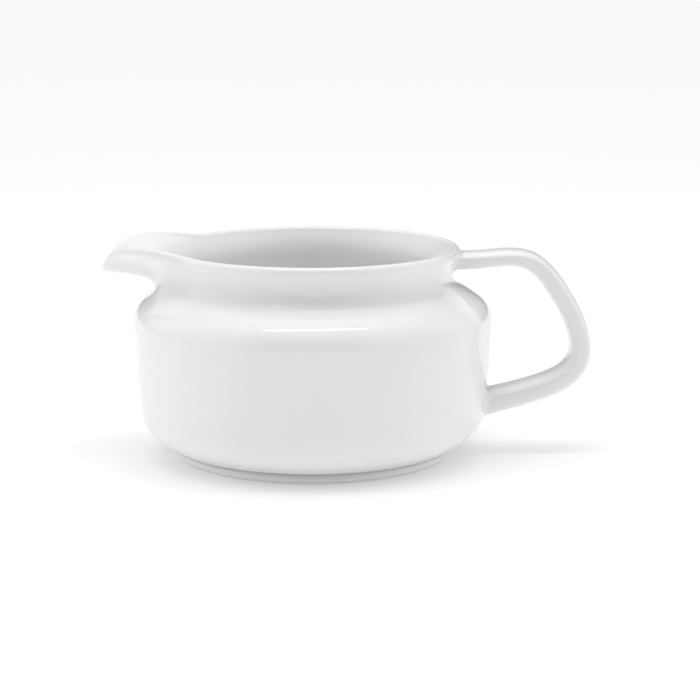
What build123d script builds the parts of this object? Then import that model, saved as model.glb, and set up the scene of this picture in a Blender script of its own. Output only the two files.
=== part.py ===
from build123d import *
import math
import os

# Gravy boat: a round white porcelain sauce jug with a stepped-in neck, a wide pouring beak and a strap handle.
# Sizes are in millimetres. The origin is on the bowl's axis at table level. The beak points along -X,
# the handle along +X, and +Z is up.

# ---- driving dimensions -------------------------------------------------------------------------------------

# The cast bowl.
underside_z = 3.0            # the recessed underside, inside the foot ring
floor_z = 6.5                # the inside of the floor
belly_radius = 57.5          # the widest part, just below the shoulder
wall = 3.2                   # fired wall thickness of the body
foot_joint = (46.6, underside_z)
shoulder_edge = (53.2, 50.7)
shoulder_slope = (-0.835, 0.55)

# The neck and rim, as radius and height, from the shoulder edge up to the outside of the lip.
neck_outline = [
    shoulder_edge,
    (48.5, 53.6),
    (45.4, 55.6),
    (44.5, 58.4),
    (44.75, 60.8),
    (45.7, 62.6),
    (46.6, 63.7),
    (46.95, 64.6),
]
rim_wall = 3.2               # wall thickness at the lip
lip_roundness = 0.5          # height of the rounded lip, as a share of the wall there

# The beak's own outline along its centre line, matched point for point with the neck's.
beak_outline = [
    shoulder_edge,
    (50.9, 52.8),
    (50.3, 54.5),
    (51.5, 56.4),
    (55.4, 58.0),
    (60.3, 58.95),
    (65.4, 59.55),
    (66.8, 59.8),
]
beak_tip_wall = 2.2
beak_fade = 37.7             # where the beak's outline has fully faded into the neck's, each side of -X
beak_point = 0.085           # how much the sides of the tip draw back from it, so that it is a little pointed
beak_point_spread = 7.6      # degrees from the centre line over which they do
beak_half_angle = 46.0       # the sector of the neck that the beak piece takes up, each side of -X
beak_sections = 25           # wall sections that shape the beak, an odd number so that one is on the centre line

# The lip beside the beak stands above the rim, and drops away at the tip so that the sauce pours cleanly.
lip_rise = 1.75
lip_rise_full = 16.0         # degrees from the centre line within which the lip is fully raised
lip_rise_end = 38.0          # and where it is level with the rim again
lip_droop = 7.6
droop_spread = 7.8           # degrees from the centre line at which the drop has shrunk to about a third

# The foot ring.
foot_outer = 44.8
foot_inner = 41.2
foot_root_inner = 40.2
foot_flare = (46.0, 2.2)     # where the outside has opened out, just under the joint
foot_edge = 0.6              # width of the rounding at the foot's outer ground edge

# The strap handle: centre-line point (x, z), width across the strap and its thickness.
handle_stations = [
    ((42.0, 62.3), 14.0, 5.8),
    ((50.0, 62.4), 13.0, 5.4),
    ((57.0, 62.9), 13.0, 5.3),
    ((63.8, 63.3), 13.0, 5.3),
    ((70.2, 61.8), 13.0, 5.8),
    ((75.3, 57.3), 13.0, 6.3),
    ((79.8, 50.9), 13.0, 6.5),
    ((83.3, 44.5), 13.2, 6.6),
    ((85.6, 37.9), 13.4, 6.7),
    ((86.0, 32.2), 13.6, 6.9),
    ((83.6, 26.9), 13.8, 7.1),
    ((78.2, 22.9), 14.0, 7.3),
    ((71.5, 20.3), 14.2, 7.4),
    ((65.0, 18.4), 14.5, 7.5),
    ((58.7, 16.8), 15.0, 7.7),
    ((52.0, 15.1), 15.5, 8.0),
]
strap_corner = 2.3           # rounding along the strap's four edges

# The slip that fills the corner where each end of the handle is stuck to the body.
slip_reach = 3.2             # how far it runs out along the handle
slip_spread = 1.1            # how far it stands out round the handle, at the body
slip_edge = 0.15             # its thickness where it fades into the handle
upper_slip_root = (45.0, 62.3)
upper_slip_run = (1, 0.02)   # its direction, away from the body
upper_slip_section = (13.4, 5.6)
lower_slip_root = (55.9, 16.1)
lower_slip_run = (1, 0.25)
lower_slip_section = (15.2, 7.8)


# ---- outlines -----------------------------------------------------------------------------------------------

def inward(points, index, distance):
    """The point beside points[index], moved by distance into the wall, square to the outline."""
    before = points[max(index - 1, 0)]
    after = points[min(index + 1, len(points) - 1)]
    run = after[0] - before[0]
    rise = after[1] - before[1]
    length = math.hypot(run, rise)
    here = points[index]
    return (here[0] - distance * rise / length, here[1] + distance * run / length)


def inner_outline(outer, end_wall):
    """The inside of a wall whose outside is given, thinning evenly from the body's wall to end_wall."""
    last = len(outer) - 1
    start = (shoulder_edge[0] + wall * -shoulder_slope[1], shoulder_edge[1] + wall * shoulder_slope[0])
    rest = [inward(outer, i, wall + (end_wall - wall) * i / last) for i in range(1, last + 1)]
    return [start] + rest


def lip_crest(outer, inner):
    """The middle of the rounded lip that joins the ends of the two outlines."""
    run = outer[-1][0] - inner[-1][0]
    rise = outer[-1][1] - inner[-1][1]
    middle = ((outer[-1][0] + inner[-1][0]) / 2, (outer[-1][1] + inner[-1][1]) / 2)
    return (middle[0] - lip_roundness * rise, middle[1] + lip_roundness * run)


def ease(value, start, end):
    """1 up to start, 0 from end on, and a smooth fall between them."""
    share = min(max((value - start) / (end - start), 0), 1)
    return (1 + math.cos(math.pi * share)) / 2


def beak_section(angle):
    """Outer outline and lip thickness at an angle from the beak's centre line."""
    drawn_back = beak_point * (1 - math.exp(-(angle / beak_point_spread) ** 2))
    share = ease(abs(angle), 0, beak_fade) * (1 - drawn_back)
    rise = lip_rise * ease(abs(angle), lip_rise_full, lip_rise_end)
    droop = lip_droop * math.exp(-(angle / droop_spread) ** 2)
    base = shoulder_edge[1]
    height = neck_outline[-1][1] + rise - droop - base
    points = []
    for (neck_r, neck_z), (beak_r, beak_z) in zip(neck_outline, beak_outline):
        neck_part = (neck_z - base) / (neck_outline[-1][1] - base)
        beak_part = (beak_z - base) / (beak_outline[-1][1] - base)
        part = neck_part + share * (beak_part - neck_part)
        points.append((neck_r + share * (beak_r - neck_r), base + part * height))
    return points, rim_wall + share * (beak_tip_wall - rim_wall)


def at_angle(point, degrees):
    """A (radius, height) point placed in the upright plane at an angle round the bowl's axis from +X."""
    turn = math.radians(degrees)
    return Vector(point[0] * math.cos(turn), point[0] * math.sin(turn), point[1])


def wall_edges(outer, end_wall, degrees):
    """Edges of a neck or beak wall section: outside going up, lip, and inside coming down."""
    inner = inner_outline(outer, end_wall)
    crest = lip_crest(outer, inner)
    up = Spline(*[at_angle(p, degrees) for p in outer])
    over = ThreePointArc(at_angle(outer[-1], degrees), at_angle(crest, degrees), at_angle(inner[-1], degrees))
    down = Spline(*[at_angle(p, degrees) for p in reversed(inner)])
    return [up, over, down], inner


# ---- pieces -------------------------------------------------------------------------------------------------

def lower_body_outside():
    """Outside of the body from the foot joint to the shoulder edge."""
    heel = Spline(
        at_angle(foot_joint, 0), at_angle((51.2, 6.2), 0), at_angle((54.5, 10.4), 0), at_angle((55.9, 16.0), 0),
        tangents=[(1, 0, 0.55), (0.05, 0, 1)])
    side = Spline(
        at_angle((55.9, 16.0), 0), at_angle((56.8, 29.0), 0), at_angle((belly_radius, 42.0), 0),
        tangents=[(0.05, 0, 1), (0.02, 0, 1)])
    shoulder = Spline(
        at_angle((belly_radius, 42.0), 0), at_angle((56.3, 47.4), 0), at_angle(shoulder_edge, 0),
        tangents=[(0.02, 0, 1), (shoulder_slope[0], 0, shoulder_slope[1])])
    return [heel, side, shoulder]


def lower_body_inside(top):
    """Inside of the body, from the foot of the neck's inner wall down to the middle of the floor."""
    side_top = (belly_radius - wall, 41.0)
    side_low = (52.6, 17.0)
    floor_edge = (42.0, floor_z)
    shoulder = Spline(
        at_angle(top, 0), at_angle((53.7, 45.3), 0), at_angle(side_top, 0),
        tangents=[(-shoulder_slope[0], 0, -shoulder_slope[1]), (0, 0, -1)])
    side = Line(at_angle(side_top, 0), at_angle(side_low, 0))
    heel = Spline(
        at_angle(side_low, 0), at_angle((50.2, 10.3), 0), at_angle(floor_edge, 0),
        tangents=[(-0.07, 0, -1), (-1, 0, 0)])
    floor = Line(at_angle(floor_edge, 0), at_angle((0, floor_z), 0))
    return [shoulder, side, heel, floor]


def beak_sector():
    """The space that the beak takes out of the neck, between its two sides and above the shoulder edge."""
    inner_edge = inner_outline(neck_outline, rim_wall)[0]
    corners = [inner_edge, shoulder_edge, (90, shoulder_edge[1]), (90, 90), (20, 90), (20, inner_edge[1])]
    start = 180 - beak_half_angle
    face = Face(Wire.make_polygon([at_angle(c, start) for c in corners], close=True))
    return revolve(face, axis=Axis.Z, revolution_arc=2 * beak_half_angle)


def bowl():
    """Floor, belly, shoulder, neck and rim, open where the beak grows out of the neck."""
    neck, inner = wall_edges(neck_outline, rim_wall, 0)
    axis_line = Line(at_angle((0, floor_z), 0), at_angle((0, underside_z), 0))
    underside = Line(at_angle((0, underside_z), 0), at_angle(foot_joint, 0))
    outline = Wire(lower_body_outside() + neck + lower_body_inside(inner[0]) + [axis_line, underside])
    return revolve(Face(outline), axis=Axis.Z) - beak_sector()


def body_core():
    """The body's outer shape up to the lip, with no hollow and no beak, for trimming the handle."""
    (up, over, _), inner = wall_edges(neck_outline, rim_wall, 0)
    lid = Line(over @ 1, at_angle((0, inner[-1][1]), 0))
    axis_line = Line(lid @ 1, at_angle((0, underside_z), 0))
    underside = Line(at_angle((0, underside_z), 0), at_angle(foot_joint, 0))
    outline = Wire(lower_body_outside() + [up, over, lid, axis_line, underside])
    return revolve(Face(outline), axis=Axis.Z)


def spout():
    """The beak: upright wall sections fanned round the axis, drawn out to the tip and back to the rim."""
    sections = []
    for index in range(beak_sections):
        angle = beak_half_angle * (2 * index / (beak_sections - 1) - 1)
        outer, end_wall = beak_section(angle)
        edges, inner = wall_edges(outer, end_wall, 180 + angle)
        seam = Line(at_angle(inner[0], 180 + angle), at_angle(outer[0], 180 + angle))
        sections.append(Wire(edges + [seam]))
    return Solid.make_loft(sections)


def foot_ring():
    """The low ring that the bowl stands on."""
    ground = Line(at_angle((foot_inner, 0), 0), at_angle((foot_outer - foot_edge, 0), 0))
    side = at_angle((foot_outer + foot_edge / 2, foot_edge), 0)
    outside = Spline(ground @ 1, side, at_angle(foot_flare, 0), at_angle(foot_joint, 0))
    joint = Line(at_angle(foot_joint, 0), at_angle((foot_root_inner, underside_z), 0))
    inside = Line(joint @ 1, ground @ 0)
    return revolve(Face(Wire([ground, outside, joint, inside])), axis=Axis.Z)


def strap_plane(index):
    """The plane square to the handle's centre line at one station."""
    points = [station[0] for station in handle_stations]
    before = points[max(index - 1, 0)]
    after = points[min(index + 1, len(points) - 1)]
    along = (after[0] - before[0], 0, after[1] - before[1])
    return Plane(origin=(points[index][0], 0, points[index][1]), x_dir=(0, 1, 0), z_dir=along)


def strap():
    """The handle's full strap, running a little way into the body at both ends."""
    sections = []
    for index, (_, width, thickness) in enumerate(handle_stations):
        sections.append(strap_plane(index) * RectangleRounded(width, thickness, strap_corner))
    return loft(sections)


def slip_collar(root, along, width, thickness):
    """A flared collar round one end of the strap, from inside the body to where it fades out."""
    start = Plane(origin=(root[0], 0, root[1]), x_dir=(0, 1, 0), z_dir=(along[0], 0, along[1]))
    wide = slip_spread * 2
    fine = slip_edge * 2
    return loft([
        start * RectangleRounded(width + wide, thickness + wide, strap_corner + slip_spread),
        start.offset(slip_reach) * RectangleRounded(width + fine, thickness + fine, strap_corner + slip_edge),
    ])


def build():
    body = bowl()
    core = body_core()
    full_strap = strap()
    handle = full_strap - core
    upper = slip_collar(upper_slip_root, upper_slip_run, *upper_slip_section) - core - body - full_strap
    lower = slip_collar(lower_slip_root, lower_slip_run, *lower_slip_section) - core - full_strap
    return {
        "bowl": body,
        "foot_ring": foot_ring(),
        "spout": spout(),
        "handle": handle,
        "upper_joint_slip": upper,
        "lower_joint_slip": lower,
    }


os.makedirs("parts", exist_ok=True)
for name, shape in build().items():
    export_step(shape, f"parts/{name}.step")
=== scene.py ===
import math

import bpy
import numpy as np
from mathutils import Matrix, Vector

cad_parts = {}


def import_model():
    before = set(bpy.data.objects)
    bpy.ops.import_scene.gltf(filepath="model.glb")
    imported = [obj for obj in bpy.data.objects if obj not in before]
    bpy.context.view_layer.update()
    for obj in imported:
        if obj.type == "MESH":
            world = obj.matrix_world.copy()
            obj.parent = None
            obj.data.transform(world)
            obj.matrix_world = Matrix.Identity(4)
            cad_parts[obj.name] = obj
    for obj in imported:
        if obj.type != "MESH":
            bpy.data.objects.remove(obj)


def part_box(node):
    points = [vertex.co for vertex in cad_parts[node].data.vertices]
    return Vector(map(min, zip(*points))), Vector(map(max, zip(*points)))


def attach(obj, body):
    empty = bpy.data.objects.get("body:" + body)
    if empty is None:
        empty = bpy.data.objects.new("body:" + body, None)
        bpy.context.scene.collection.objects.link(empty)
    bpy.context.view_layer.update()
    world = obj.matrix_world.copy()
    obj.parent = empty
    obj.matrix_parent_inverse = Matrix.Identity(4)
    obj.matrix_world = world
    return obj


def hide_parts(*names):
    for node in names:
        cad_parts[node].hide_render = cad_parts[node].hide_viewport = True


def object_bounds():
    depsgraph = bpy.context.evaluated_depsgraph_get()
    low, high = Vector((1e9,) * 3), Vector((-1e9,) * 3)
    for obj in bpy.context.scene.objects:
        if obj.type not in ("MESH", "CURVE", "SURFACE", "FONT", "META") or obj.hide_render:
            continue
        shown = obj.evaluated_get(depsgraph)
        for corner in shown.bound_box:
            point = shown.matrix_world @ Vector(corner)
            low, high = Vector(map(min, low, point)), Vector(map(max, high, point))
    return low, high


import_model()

# White porcelain gravy boat on a plain pale floor. Outlines are in millimetres, as (radius, height) pairs
# round the bowl's upright axis, with the beak along -X and the handle along +X. Meshes are made in metres.

MM = 0.001
cad_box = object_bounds()

# ---- the body's outline --------------------------------------------------------------------------------

# The neck, the beak and the lip have the CAD body's own numbers. The belly and the foot are drawn again
# with rounded corners, close to the CAD's curves, and a groove is added where the foot meets the heel.

underside_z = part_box("bowl")[0].z / MM
floor_z = 6.5                # the inside of the floor
wall = 3.2
rim_wall = 3.2               # wall thickness at the lip
beak_tip_wall = 2.2
lip_roundness = 0.5          # height of the rounded lip, as a share of the wall there
shoulder_edge = (53.2, 50.7)
neck_outline = [
    shoulder_edge,
    (48.5, 53.6),
    (45.4, 55.6),
    (44.5, 58.4),
    (44.75, 60.8),
    (45.7, 62.6),
    (46.6, 63.7),
    (46.95, 64.6),
]
# The beak's own outline along its centre line, matched point for point with the neck's.
beak_outline = [
    shoulder_edge,
    (50.9, 52.8),
    (50.3, 54.5),
    (51.5, 56.4),
    (55.4, 58.0),
    (60.3, 58.95),
    (65.4, 59.55),
    (66.8, 59.8),
]
# Spreads and fades are in degrees from the beak's centre line.
beak_fade = 37.7             # where the beak has fully faded into the neck
beak_point = 0.085           # how much the sides of the tip draw back from it
beak_point_spread = 7.6
lip_rise = 1.75              # how far the lip beside the tip stands above the rim
lip_rise_full = 16.0
lip_rise_end = 38.0
lip_droop = 7.6              # how far the lip drops away at the tip
droop_spread = 7.8

# Corners of the outside, from the foot joint up to the shoulder, with the radius that rounds each.
outside_corners = [
    ((46.4, 3.6), 0),
    ((55.54, 9.09), 12.0),
    ((57.84, 47.64), 8.0),
    (shoulder_edge, 0),
]
# Corners of the foot, from the middle of the underside out to the foot joint. The glaze stops at
# glaze_line.
glaze_line = 0.35
foot_corners = [
    ((0, underside_z), 0),
    ((40.2, underside_z), 1.2),
    ((41.3, glaze_line), 0.2),
    ((44.9, glaze_line), 0.3),
    ((44.5, 2.4), 0.4),
    ((42.3, 3.1), 0.4),
    ((42.5, 3.8), 0.3),
    ((46.4, 3.6), 0),
]
# The corner inside, between the wall and the floor.
heel_corner = (51.6, floor_z)
heel_radius = 9.0

# Mesh fineness.
row_step = 0.75              # millimetres between rows of the body
floor_row_step = row_step * 1.3     # wider rows on the floor inside
upper_rows = 34              # rows of the neck or beak
lip_rows = 12
inside_start = 19            # the row of the outside, above the heel, where the even wall starts
outside_evening = 6          # rounds of evening for the bends of the outside and of the inside
inside_evening = 4
columns = 320
beak_crowding = 0.55         # how much the columns crowd towards the beak, from 0 to 1


# ---- curve helpers -------------------------------------------------------------------------------------

def ease(value, start, end):
    """1 up to start, 0 from end on, and a smooth fall between them."""
    share = min(max((value - start) / (end - start), 0.0), 1.0)
    return (1 + math.cos(math.pi * share)) / 2


def resample(path, step):
    """Points evenly spaced along a path, about step apart."""
    path = np.array(path, float)
    lengths = np.concatenate([[0], np.cumsum(np.linalg.norm(np.diff(path, axis=0), axis=1))])
    count = max(2, round(lengths[-1] / step) + 1)
    at = np.linspace(0, lengths[-1], count)
    return np.stack([np.interp(at, lengths, path[:, k]) for k in range(path.shape[1])], axis=1)


def spline(points, count):
    """count points along the smooth curve (a natural cubic spline) through the given points."""
    points = np.array(points, float)
    knots = np.concatenate([[0], np.cumsum(np.linalg.norm(np.diff(points, axis=0), axis=1))])
    gaps = np.diff(knots)
    size = len(points)
    matrix = np.eye(size)
    right = np.zeros_like(points)
    for i in range(1, size - 1):
        matrix[i, i - 1:i + 2] = gaps[i - 1], 2 * (gaps[i - 1] + gaps[i]), gaps[i]
        slopes = (points[i + 1] - points[i]) / gaps[i] - (points[i] - points[i - 1]) / gaps[i - 1]
        right[i] = 6 * slopes
    bend = np.linalg.solve(matrix, right)
    at = np.linspace(0, knots[-1], count)
    piece = np.clip(np.searchsorted(knots, at) - 1, 0, size - 2)
    gap = gaps[piece][:, None]
    a = ((knots[piece + 1] - at)[:, None]) / gap
    b = 1 - a
    curve = a * points[piece] + b * points[piece + 1]
    return curve + ((a ** 3 - a) * bend[piece] + (b ** 3 - b) * bend[piece + 1]) * gap ** 2 / 6


def rounded_path(corners, step):
    """An open path of straight runs, with each corner rounded to its own radius."""
    points = [np.array(corner, float) for corner, _ in corners]
    path = [points[0]]
    for i in range(1, len(corners) - 1):
        here, radius = points[i], corners[i][1]
        back = (points[i - 1] - here) / np.linalg.norm(points[i - 1] - here)
        ahead = (points[i + 1] - here) / np.linalg.norm(points[i + 1] - here)
        half = math.acos(np.clip(back @ ahead, -1, 1)) / 2
        tangent = radius / math.tan(half)
        centre = here + (back + ahead) / np.linalg.norm(back + ahead) * radius / math.sin(half)
        start = here + back * tangent - centre
        end = here + ahead * tangent - centre
        turn = math.pi - 2 * half
        count = max(3, round(radius * turn / step) + 1)
        for k in range(count):
            share = k / (count - 1)
            arc = math.sin((1 - share) * turn) * start + math.sin(share * turn) * end
            path.append(centre + arc / math.sin(turn))
    path.append(points[-1])
    return resample(path, step)


def relax(path, rounds):
    """Evens out the bends of a path, with its ends held."""
    path = np.array(path, float)
    for _ in range(rounds):
        path[1:-1] = (path[:-2] + 2 * path[1:-1] + path[2:]) / 4
    return path


def inward(path, distance):
    """The path moved into the wall, square to itself. distance is one number or one for each point."""
    along = np.gradient(path, axis=0)
    along /= np.linalg.norm(along, axis=1)[:, None]
    square = np.stack([-along[:, 1], along[:, 0]], axis=1)
    return path + square * np.reshape(distance, (-1, 1))


# ---- meshes --------------------------------------------------------------------------------------------

def smooth_mesh(name, vertices, faces):
    """A smooth-shaded mesh object, from points in millimetres."""
    mesh = bpy.data.meshes.new(name)
    mesh.from_pydata((np.array(vertices) * MM).tolist(), [], faces)
    mesh.validate()
    mesh.polygons.foreach_set("use_smooth", [True] * len(mesh.polygons))
    piece = bpy.data.objects.new(name, mesh)
    bpy.context.scene.collection.objects.link(piece)
    return piece


def ring_faces(rings, around, closed_rings=False):
    """Four-sided faces between rings of points. closed_rings also joins the last ring to the first."""
    faces = []
    for i in range(rings if closed_rings else rings - 1):
        here = i * around
        ahead = (i + 1) % rings * around
        for j in range(around):
            beside = (j + 1) % around
            faces.append((here + j, here + beside, ahead + beside, ahead + j))
    return faces


# ---- the body ------------------------------------------------------------------------------------------

def upper_outline(angle):
    """Outside of the neck or beak at an angle from the beak's centre line, and how much of it is beak."""
    drawn_back = beak_point * (1 - math.exp(-(angle / beak_point_spread) ** 2))
    share = ease(abs(angle), 0, beak_fade) * (1 - drawn_back)
    rise = lip_rise * ease(abs(angle), lip_rise_full, lip_rise_end)
    droop = lip_droop * math.exp(-(angle / droop_spread) ** 2)
    neck = np.array(neck_outline)
    beak = np.array(beak_outline)
    base = shoulder_edge[1]
    height = neck[-1, 1] + rise - droop - base
    neck_part = (neck[:, 1] - base) / (neck[-1, 1] - base)
    beak_part = (beak[:, 1] - base) / (beak[-1, 1] - base)
    radius = neck[:, 0] + share * (beak[:, 0] - neck[:, 0])
    part = neck_part + share * (beak_part - neck_part)
    return np.stack([radius, base + part * height], axis=1), share


def rounded_lip(outside_end, inside_end):
    """The half-round of the lip, from the outside's last point over to the inside's."""
    middle = (outside_end + inside_end) / 2
    across = (outside_end - inside_end) / 2
    outward = np.array([-across[1], across[0]])
    turn = np.linspace(0, math.pi, lip_rows + 2)[1:-1]
    rounding = 2 * lip_roundness
    return middle + np.cos(turn)[:, None] * across + np.sin(turn)[:, None] * outward * rounding


def body_section(angle):
    """The body's section at an angle, from the underside's middle round the lip to the floor's middle."""
    foot = rounded_path(foot_corners, row_step)
    lower = rounded_path(outside_corners, row_step)
    upper_points, share = upper_outline(angle)
    upper = spline(upper_points, upper_rows)
    outside = relax(np.concatenate([lower, upper[1:]]), outside_evening)
    near_lip = np.linspace(0, 1, len(outside) - inside_start) ** 2
    end_wall = rim_wall + share * (beak_tip_wall - rim_wall)
    thickness = np.concatenate([np.full(inside_start, wall), wall + (end_wall - wall) * near_lip])
    inside = inward(outside, thickness)[inside_start:]
    lip = rounded_lip(outside[-1], inside[-1])
    heel = rounded_path([(inside[0], 0), (heel_corner, heel_radius), ((0, floor_z), 0)], floor_row_step)
    inner = relax(np.concatenate([inside[::-1], heel[1:]]), inside_evening)
    return np.concatenate([foot, outside[1:], lip, inner])


def body():
    """The glazed body in one seamless piece: foot, belly, shoulder, neck, rim and beak."""
    even = np.linspace(-math.pi, math.pi, columns, endpoint=False)
    angles = even - beak_crowding * np.sin(even)
    sections = np.stack([body_section(math.degrees(a)) for a in angles])
    turn = math.pi + angles
    x = sections[:, :, 0] * np.cos(turn)[:, None]
    y = sections[:, :, 0] * np.sin(turn)[:, None]
    points = np.stack([x, y, sections[:, :, 1]], axis=2)[:, 1:-1]
    rows = points.shape[1]
    vertices = points.transpose(1, 0, 2).reshape(-1, 3).tolist()
    faces = ring_faces(rows, columns)
    under, top = len(vertices), len(vertices) + 1
    vertices += [(0, 0, underside_z), (0, 0, floor_z)]
    last = (rows - 1) * columns
    faces += [(under, (j + 1) % columns, j) for j in range(columns)]
    faces += [(top, last + j, last + (j + 1) % columns) for j in range(columns)]
    return smooth_mesh("body", vertices, faces)


# ---- the foot's bare standing ring ---------------------------------------------------------------------

ring_inner = 41.6
ring_outer = 44.4
ring_middle = 43.0
ring_top = 0.9               # hidden inside the glazed foot
ground_edge = 0.22           # rounding where the ring stands on the table
sunk_edge = 0.1
ring_step = 0.12
ring_around = 240


def standing_ring():
    """The unglazed ring that the boat stands on, ground flat and a little proud of the glaze."""
    corners = [
        ((ring_middle, ring_top), 0),
        ((ring_inner, ring_top), sunk_edge),
        ((ring_inner, 0), ground_edge),
        ((ring_outer, 0), ground_edge),
        ((ring_outer, ring_top), sunk_edge),
        ((ring_middle, ring_top), 0),
    ]
    outline = rounded_path(corners, ring_step)[:-1]
    turn = np.linspace(0, 2 * math.pi, ring_around, endpoint=False)
    vertices = [(r * math.cos(t), r * math.sin(t), z) for r, z in outline for t in turn]
    faces = ring_faces(len(outline), ring_around, closed_rings=True)
    return smooth_mesh("standing_ring", vertices, faces)


# ---- the handle ----------------------------------------------------------------------------------------

# Centre-line point (x, z), width across the strap and its thickness.
handle_stations = [
    ((43.9, 62.3), 13.2, 5.5),
    ((50.0, 62.4), 13.0, 5.4),
    ((57.0, 62.9), 13.0, 5.3),
    ((63.8, 63.3), 13.0, 5.3),
    ((70.2, 61.8), 13.0, 5.8),
    ((75.3, 57.3), 13.0, 6.3),
    ((79.8, 50.9), 13.0, 6.5),
    ((83.3, 44.5), 13.2, 6.6),
    ((85.6, 37.9), 13.4, 6.7),
    ((86.0, 32.2), 13.6, 6.9),
    ((83.6, 26.9), 13.8, 7.1),
    ((78.2, 22.9), 14.0, 7.3),
    ((71.5, 20.3), 14.2, 7.4),
    ((65.0, 18.4), 14.5, 7.5),
    ((58.7, 16.8), 15.0, 7.7),
    ((54.4, 15.7), 15.3, 7.9),
]
strap_squareness = 3.0       # 2 is an ellipse, and more is nearer a rectangle
strap_rings = 150
strap_around = 72


def squircle(turn, half_width, half_thickness):
    """A point on the strap's rounded section, as (across, up)."""
    power = 2 / strap_squareness
    c = math.cos(turn)
    s = math.sin(turn)
    across = half_width * math.copysign(abs(c) ** power, c)
    return across, half_thickness * math.copysign(abs(s) ** power, s)


def handle():
    """The strap, swept along its centre line from inside the neck's wall to inside the belly's."""
    table = [(x, z, width, thickness) for (x, z), width, thickness in handle_stations]
    swept = spline(table, strap_rings)
    along = np.gradient(swept[:, :2], axis=0)
    along /= np.linalg.norm(along, axis=1)[:, None]
    vertices = []
    for (x, z, width, thickness), (run, rise) in zip(swept, along):
        for k in range(strap_around):
            across, up = squircle(2 * math.pi * k / strap_around, width / 2, thickness / 2)
            vertices.append((x - rise * up, across, z + run * up))
    faces = ring_faces(strap_rings, strap_around)
    faces.append(tuple(range(strap_around))[::-1])
    last = (strap_rings - 1) * strap_around
    faces.append(tuple(range(last, last + strap_around)))
    return smooth_mesh("strap_handle", vertices, faces)


# ---- slip at the handle's joints -----------------------------------------------------------------------

# For each CAD slip: the piece's name, a point on the strap's centre line (x, z), the strap's direction there,
# its width and thickness, and the fillet's radius over and under it.
slip_places = {
    "upper_joint_slip": ("upper_slip", (48.0, 62.35), (1.0, 0.017), (13.0, 5.4), (1.4, 2.4)),
    "lower_joint_slip": ("lower_slip", (58.7, 16.8), (0.9682, 0.2502), (15.0, 7.7), (2.2, 1.3)),
}
slip_rings = 9               # points along the fillet's hollow
slip_proud = 0.02            # how far the fillet stands clear of the body and the strap
body_lap = (0.25, 0.3)       # how far its edge runs on over the body, and how far under the body's surface
strap_lap = (0.25, 0.75)     # how far its other edge goes under the strap's surface, and on along the strap
slip_depth = 1.0             # how far its hidden side lies inside the body and the strap
tangent_step = 0.01          # radians either side of a point of the section, to find its direction
foot_clearance = 5.0         # the body's outside is followed from this height up
reach_limits = (-25.0, 10.0)
reach_halvings = 40
handle_angle = 180           # degrees from the beak's centre line


def plain_outside():
    """The body's outside at the handle, from above the foot to the top of the lip."""
    section = body_section(handle_angle)
    outside = section[:int(np.argmax(section[:, 1])) + 1]
    return outside[outside[:, 1] > foot_clearance]


def reach_body(outside, start, along):
    """How far from start, in the strap's direction, the body's surface lies. Found by halving."""
    low, high = reach_limits
    for _ in range(reach_halvings):
        middle = (low + high) / 2
        x = start[0] + along[0] * middle
        z = start[2] + along[1] * middle
        if math.hypot(x, start[1]) < np.interp(z, outside[:, 1], outside[:, 0]):
            low = middle
        else:
            high = middle
    return (low + high) / 2


def strap_edge(turn, half_width, half_thickness):
    """A point of the strap's section and the direction square to the section there, as (across, up)."""
    after = squircle(turn + tangent_step, half_width, half_thickness)
    before = squircle(turn - tangent_step, half_width, half_thickness)
    tangent = (after[0] - before[0], after[1] - before[1])
    size = math.hypot(*tangent)
    return squircle(turn, half_width, half_thickness), (tangent[1] / size, -tangent[0] / size)


def slip_profile(radius):
    """The slip's section, as (distance out from the strap, distance away from the body)."""
    profile = [(radius + body_lap[0], -body_lap[1])]
    for i in range(slip_rings):
        sweep = math.pi / 2 * i / (slip_rings - 1)
        out = radius * (1 - math.sin(sweep)) + slip_proud
        profile.append((out, radius * (1 - math.cos(sweep)) + slip_proud))
    profile.append((-strap_lap[0], radius + strap_lap[1]))
    return profile + [(-slip_depth, radius), (-slip_depth, -slip_depth), (radius, -slip_depth)]


def joint_slip(outside, name, root, along, section, radii):
    """The hand-smoothed fillet round one end of the strap: a closed ring, rounded hollow on the outside."""
    up = (-along[1], along[0])
    over, under = radii
    rings = []
    for k in range(strap_around):
        turn = 2 * math.pi * k / strap_around
        (across, rise), normal = strap_edge(turn, section[0] / 2, section[1] / 2)
        radius = under + (over - under) * (1 + math.sin(turn)) / 2
        ring = []
        for out, away in slip_profile(radius):
            y = across + normal[0] * out
            lift = rise + normal[1] * out
            base = (root[0] + up[0] * lift, y, root[1] + up[1] * lift)
            far = reach_body(outside, base, along) + away
            ring.append((base[0] + along[0] * far, y, base[2] + along[1] * far))
        rings.append(ring)
    count = len(rings[0])
    vertices = [rings[k][i] for i in range(count) for k in range(strap_around)]
    return smooth_mesh(name, vertices, ring_faces(count, strap_around, closed_rings=True))


# ---- materials -----------------------------------------------------------------------------------------

floor_glow = 0.22
blend_band = (0.3, 0.7)      # the part of a noise's range over which a blend runs


def new_material(name):
    """A material with its nodes, their links and its main shader."""
    material = bpy.data.materials.new(name)
    material.use_nodes = True
    nodes = material.node_tree.nodes
    return material, nodes, material.node_tree.links, nodes["Principled BSDF"]


def noise_bump(nodes, links, shader, layers):
    """Stacks noise bumps, each given as (scale per metre, depth in metres), onto a shader."""
    place = nodes.new("ShaderNodeTexCoord")
    under = None
    for scale, depth in layers:
        noise = nodes.new("ShaderNodeTexNoise")
        noise.inputs["Scale"].default_value = scale
        links.new(place.outputs["Object"], noise.inputs["Vector"])
        bump = nodes.new("ShaderNodeBump")
        bump.inputs["Distance"].default_value = depth
        links.new(noise.outputs["Fac"], bump.inputs["Height"])
        if under:
            links.new(under.outputs["Normal"], bump.inputs["Normal"])
        under = bump
    links.new(under.outputs["Normal"], shader.inputs["Normal"])


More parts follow.
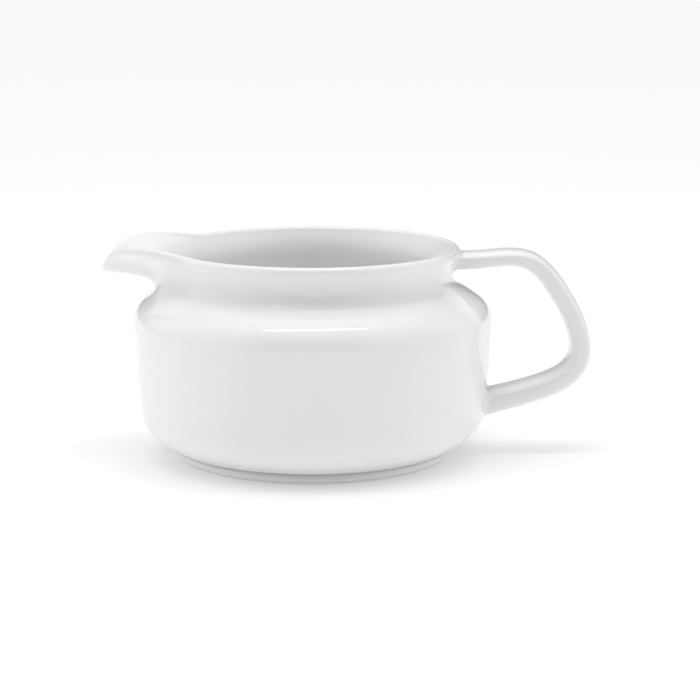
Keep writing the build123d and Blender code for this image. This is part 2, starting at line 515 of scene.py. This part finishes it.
def noise_blend(nodes, links, socket, scale, detail, low, high):
    """Drives a socket between two values, or two colours, by a soft noise."""
    place = nodes.new("ShaderNodeTexCoord")
    noise = nodes.new("ShaderNodeTexNoise")
    noise.inputs["Scale"].default_value = scale
    noise.inputs["Detail"].default_value = detail
    links.new(place.outputs["Object"], noise.inputs["Vector"])
    ramp = nodes.new("ShaderNodeValToRGB")
    for stop, place_at, value in zip(ramp.color_ramp.elements, blend_band, (low, high)):
        stop.position = place_at
        stop.color = (*value, 1) if isinstance(value, tuple) else (value, value, value, 1)
    links.new(noise.outputs["Fac"], ramp.inputs["Fac"])
    links.new(ramp.outputs["Color"], socket)


def porcelain_glaze():
    """Clear glossy glaze over white porcelain: slow waves in the gloss and a hint of uneven glaze depth."""
    material, nodes, links, shader = new_material("porcelain_glaze")
    noise_blend(nodes, links, shader.inputs["Base Color"], scale=35.0, detail=3.0,
                low=(0.888, 0.890, 0.888), high=(0.912, 0.912, 0.909))
    noise_blend(nodes, links, shader.inputs["Roughness"], scale=260.0, detail=2.0, low=0.025, high=0.055)
    shader.inputs["IOR"].default_value = 1.52
    noise_bump(nodes, links, shader, [(45.0, 0.00012), (420.0, 0.0000045)])
    return material


def bare_porcelain():
    """Unglazed fired porcelain: matt, a little warmer and finely grained."""
    material, nodes, links, shader = new_material("bare_porcelain")
    noise_blend(nodes, links, shader.inputs["Base Color"], scale=900.0, detail=4.0,
                low=(0.74, 0.72, 0.68), high=(0.83, 0.81, 0.77))
    noise_blend(nodes, links, shader.inputs["Roughness"], scale=500.0, detail=2.0, low=0.6, high=0.8)
    noise_bump(nodes, links, shader, [(1500.0, 0.00006)])
    return material


def pale_floor():
    """A plain matt pale floor that gives off a little light of its own, so that it reads as white."""
    material, nodes, links, shader = new_material("pale_floor")
    shader.inputs["Base Color"].default_value = (0.8, 0.8, 0.8, 1)
    shader.inputs["Roughness"].default_value = 0.9
    shader.inputs["Specular IOR Level"].default_value = 0.1
    shader.inputs["Emission Color"].default_value = (1, 1, 1, 1)
    shader.inputs["Emission Strength"].default_value = floor_glow
    return material


# ---- floor, light and camera ---------------------------------------------------------------------------

# These are in metres. The light tent is a glow from all round with softer panels, each given as its
# direction, its edge and core as cosines, and its brightness.
tent_glow = 0.05
tent_panels = [
    ((0, 0, 1), 0.68, 0.97, 1.15),
    ((0, 0.5, 0.87), 0.7, 0.97, 0.95),
    ((-0.35, 1, 0.15), 0.65, 0.95, 0.4),
    ((0, -0.5, 0.87), 0.6, 0.95, 0.1),
    ((-0.97, -0.15, 0.3), 0.55, 0.93, 1.4),
    ((0.97, -0.15, 0.3), 0.55, 0.93, 1.3),
]
softbox_place = (0.01, -0.065, 0.95)
softbox_aim = (0, 0, 0.05)
softbox_width = 0.64
softbox_depth = 0.07
softbox_power = 1.4
floor_half = 12.0
floor_gap = 0.00005          # keeps the floor just clear of the standing ring
camera_place = (0.0119, -0.644, 0.1619)
camera_tilt = 11.33          # degrees below level
camera_lens = 104.55
camera_sensor = 36


def floor():
    """The plain floor, just under the lowest point of the CAD."""
    low = cad_box[0].z - floor_gap
    corners = [(-floor_half, -floor_half, low), (floor_half, -floor_half, low),
               (floor_half, floor_half, low), (-floor_half, floor_half, low)]
    mesh = bpy.data.meshes.new("floor")
    mesh.from_pydata(corners, [], [(0, 1, 2, 3)])
    piece = bpy.data.objects.new("floor", mesh)
    bpy.context.scene.collection.objects.link(piece)
    return piece


def tent_panel(nodes, links, place, direction, edge, core, brightness):
    """One soft panel of the tent: full brightness in its core, fading out at its edge."""
    facing = nodes.new("ShaderNodeVectorMath")
    facing.operation = "DOT_PRODUCT"
    links.new(place.outputs["Generated"], facing.inputs[0])
    facing.inputs[1].default_value = Vector(direction).normalized()
    fade = nodes.new("ShaderNodeMapRange")
    fade.interpolation_type = "SMOOTHSTEP"
    fade.inputs["From Min"].default_value = edge
    fade.inputs["From Max"].default_value = core
    fade.inputs["To Max"].default_value = brightness
    links.new(facing.outputs["Value"], fade.inputs["Value"])
    return fade.outputs["Result"]


def world():
    """A light tent: an even glow with a few broad soft panels added to it one by one."""
    tent = bpy.data.worlds.new("light_tent")
    bpy.context.scene.world = tent
    tent.use_nodes = True
    nodes, links = tent.node_tree.nodes, tent.node_tree.links
    nodes.clear()
    place = nodes.new("ShaderNodeTexCoord")
    so_far = None
    for panel in tent_panels:
        add = nodes.new("ShaderNodeMath")
        add.inputs[0].default_value = tent_glow
        if so_far is not None:
            links.new(so_far, add.inputs[0])
        links.new(tent_panel(nodes, links, place, *panel), add.inputs[1])
        so_far = add.outputs[0]
    back = nodes.new("ShaderNodeBackground")
    links.new(so_far, back.inputs["Strength"])
    out = nodes.new("ShaderNodeOutputWorld")
    links.new(back.outputs["Background"], out.inputs["Surface"])


def overhead_softbox():
    """The long narrow softbox overhead."""
    data = bpy.data.lights.new("overhead_softbox", "AREA")
    data.shape = "RECTANGLE"
    data.size = softbox_width
    data.size_y = softbox_depth
    data.energy = softbox_power
    light = bpy.data.objects.new("overhead_softbox", data)
    bpy.context.scene.collection.objects.link(light)
    light.location = softbox_place
    aim = Vector(softbox_aim) - Vector(softbox_place)
    light.rotation_euler = aim.to_track_quat("-Z", "Y").to_euler()


def camera():
    """The camera in front of the boat, tilted down a little, with a long lens."""
    data = bpy.data.cameras.new("camera")
    data.sensor_width = camera_sensor
    data.lens = camera_lens
    view = bpy.data.objects.new("camera", data)
    bpy.context.scene.collection.objects.link(view)
    view.location = camera_place
    view.rotation_euler = (math.radians(90 - camera_tilt), 0, 0)
    bpy.context.scene.camera = view


# ---- put together --------------------------------------------------------------------------------------

glaze = porcelain_glaze()
vessel = body()
vessel.data.materials.append(glaze)
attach(vessel, "root")
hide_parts("bowl", "spout")

ring = standing_ring()
ring.data.materials.append(bare_porcelain())
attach(ring, "root")
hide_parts("foot_ring")

grip = handle()
grip.data.materials.append(glaze)
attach(grip, "root")
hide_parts("handle")

body_side = plain_outside()
for node, slip_place in slip_places.items():
    slip = joint_slip(body_side, *slip_place)
    slip.data.materials.append(glaze)
    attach(slip, "root")
    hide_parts(node)

ground = floor()
ground.data.materials.append(pale_floor())

world()
overhead_softbox()
camera()
bpy.context.scene.view_settings.view_transform = "Standard"
